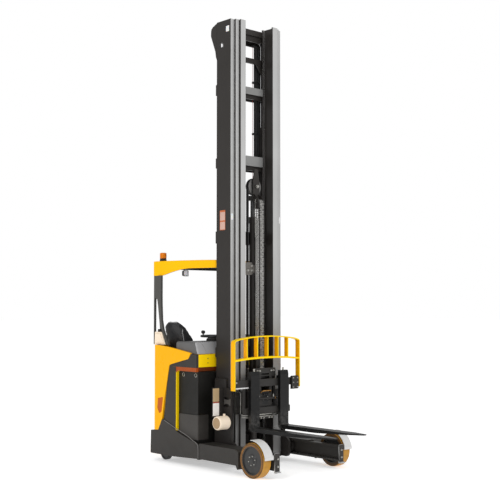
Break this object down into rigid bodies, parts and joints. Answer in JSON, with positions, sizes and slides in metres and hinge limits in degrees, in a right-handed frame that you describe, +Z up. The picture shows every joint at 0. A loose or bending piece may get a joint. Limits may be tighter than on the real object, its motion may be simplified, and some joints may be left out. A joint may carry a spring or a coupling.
{
  "type": "reach truck",
  "caption": "Sit-down electric reach truck with a reaching nested-channel mast, forks, overhead guard and side battery.",
  "frame": {"origin": "on the floor, at the middle of the overall length and of the width", "axes": "+X towards the fork tips, +Y to the left of the truck, +Z up"},
  "size_m": [2.448, 1.254, 4.79],
  "materials": {
    "yellow_paint": "amber-yellow gloss paint on steel panels",
    "dark_paint": "dark warm grey semi-gloss paint",
    "mast_paint": "dark warm grey semi-gloss paint on rolled rails",
    "light_grey_paint": "light grey paint",
    "hood_plastic": "mid grey grained moulding",
    "battery_steel": "black acid-proof coating on sheet steel",
    "cream_paint": "cream gloss paint",
    "amber_lens": "translucent amber lens",
    "dark_plastic": "black textured moulding",
    "seat_leather": "black seat cover",
    "seat_frame": "black powder coat",
    "floor_rubber": "black floor mat and pedals",
    "polyurethane": "amber polyurethane tread",
    "hub_iron": "dark painted wheel centre",
    "chain_steel": "oiled leaf chain",
    "hose_rubber": "black hydraulic hose",
    "fork_steel": "near-black paint on forged steel"
  },
  "bodies": {
    "chassis": {"chassis_frame": "dark_paint", "leg_right": "dark_paint", "leg_left": "dark_paint", "wheel_fenders": "light_grey_paint", "battery": "battery_steel", "battery_covers": "battery_steel", "battery_frames": "yellow_paint", "side_frames": "dark_paint", "side_panel_right": "yellow_paint", "side_panel_left": "yellow_paint", "rear_cover": "yellow_paint", "side_lamp": "amber_lens", "hood": "hood_plastic", "front_beam": "yellow_paint", "overhead_guard": "yellow_paint", "guard_bars": "dark_paint", "guard_posts": "dark_paint", "post_feet": "cream_paint", "beacon": "amber_lens", "work_lamp": "dark_plastic", "seat_box": "dark_paint", "seat_base": "seat_frame", "seat_cushion": "seat_leather", "seat_back": "seat_leather", "floor_and_pedals": "floor_rubber", "steering_wheel": "dark_plastic", "control_console": "dark_plastic", "reach_cylinder": "dark_paint"},
    "load_wheel_right": {"load_hub_right": "hub_iron", "load_tread_right": "polyurethane"},
    "load_wheel_left": {"load_hub_left": "hub_iron", "load_tread_left": "polyurethane"},
    "drive_unit": {"drive_unit": "dark_paint"},
    "drive_wheel": {"drive_wheel": "polyurethane"},
    "caster_fork": {"caster_fork": "dark_paint"},
    "caster_wheel": {"caster_wheel": "polyurethane"},
    "mast_outer": {"outer_rails": "mast_paint", "outer_crossmembers": "mast_paint", "reach_carriage": "mast_paint", "lift_cylinders": "mast_paint", "accumulator": "cream_paint"},
    "mast_middle": {"middle_rails": "mast_paint", "middle_crossmembers": "mast_paint"},
    "mast_inner": {"inner_rails": "mast_paint", "inner_crossmembers": "mast_paint", "free_lift_cylinder": "mast_paint", "chain_rear": "chain_steel", "hose_rear": "hose_rubber"},
    "free_lift_head": {"free_lift_head": "mast_paint", "head_pulleys": "dark_plastic"},
    "fork_carriage": {"fork_carriage": "fork_steel", "lift_chain": "chain_steel", "hose_front": "hose_rubber"},
    "tilt_frame": {"tilt_frame": "fork_steel"},
    "side_shift": {"fork_bars": "fork_steel", "load_backrest": "yellow_paint", "fork_right": "fork_steel", "fork_left": "fork_steel"}
  },
  "joints": [
    {"name": "load_wheel_right_spin", "type": "hinge", "parent": "chassis", "child": "load_wheel_right", "pos_m": [0.466, -0.5735, 0.175], "axis": [0, 1, 0], "continuous": true},
    {"name": "load_wheel_left_spin", "type": "hinge", "parent": "chassis", "child": "load_wheel_left", "pos_m": [0.466, 0.5735, 0.175], "axis": [0, 1, 0], "continuous": true},
    {"name": "steering", "type": "hinge", "parent": "chassis", "child": "drive_unit", "pos_m": [-0.989, -0.06, 0.385], "axis": [0, 0, 1], "range_deg": [-90, 90]},
    {"name": "drive_wheel_spin", "type": "hinge", "parent": "drive_unit", "child": "drive_wheel", "pos_m": [-0.989, -0.06, 0.1715], "axis": [0, 1, 0], "continuous": true},
    {"name": "caster_swivel", "type": "hinge", "parent": "chassis", "child": "caster_fork", "pos_m": [-1.064, -0.484, 0.19], "axis": [0, 0, 1], "continuous": true},
    {"name": "caster_wheel_spin", "type": "hinge", "parent": "caster_fork", "child": "caster_wheel", "pos_m": [-1.089, -0.484, 0.075], "axis": [0, 1, 0], "continuous": true},
    {"name": "reach", "type": "slide", "parent": "chassis", "child": "mast_outer", "axis": [1, 0, 0], "range_m": [0, 0.575]},
    {"name": "mast_lift", "type": "slide", "parent": "mast_outer", "child": "mast_middle", "axis": [0, 0, 1], "range_m": [0, 3.4]},
    {"name": "inner_lift", "type": "slide", "parent": "mast_middle", "child": "mast_inner", "axis": [0, 0, 1], "range_m": [0, 3.4]},
    {"name": "free_lift", "type": "slide", "parent": "mast_inner", "child": "fork_carriage", "axis": [0, 0, 1], "range_m": [-0.33, 3], "deforming": ["lift_chain", "hose_front"]},
    {"name": "free_lift_rod", "type": "slide", "parent": "mast_inner", "child": "free_lift_head", "axis": [0, 0, 1], "range_m": [-0.165, 1.5], "deforming": ["chain_rear", "hose_rear"]},
    {"name": "tilt", "type": "hinge", "parent": "fork_carriage", "child": "tilt_frame", "pos_m": [-0.034, 0, 0.905], "axis": [0, -1, 0], "range_deg": [-2, 4]},
    {"name": "side_shift", "type": "slide", "parent": "tilt_frame", "child": "side_shift", "axis": [0, 1, 0], "range_m": [-0.06, 0.06]}
  ],
  "couplings": [
    {"joint": "inner_lift", "follows": "mast_lift", "ratio": 1},
    {"joint": "free_lift_rod", "follows": "free_lift", "ratio": 0.5}
  ]
}
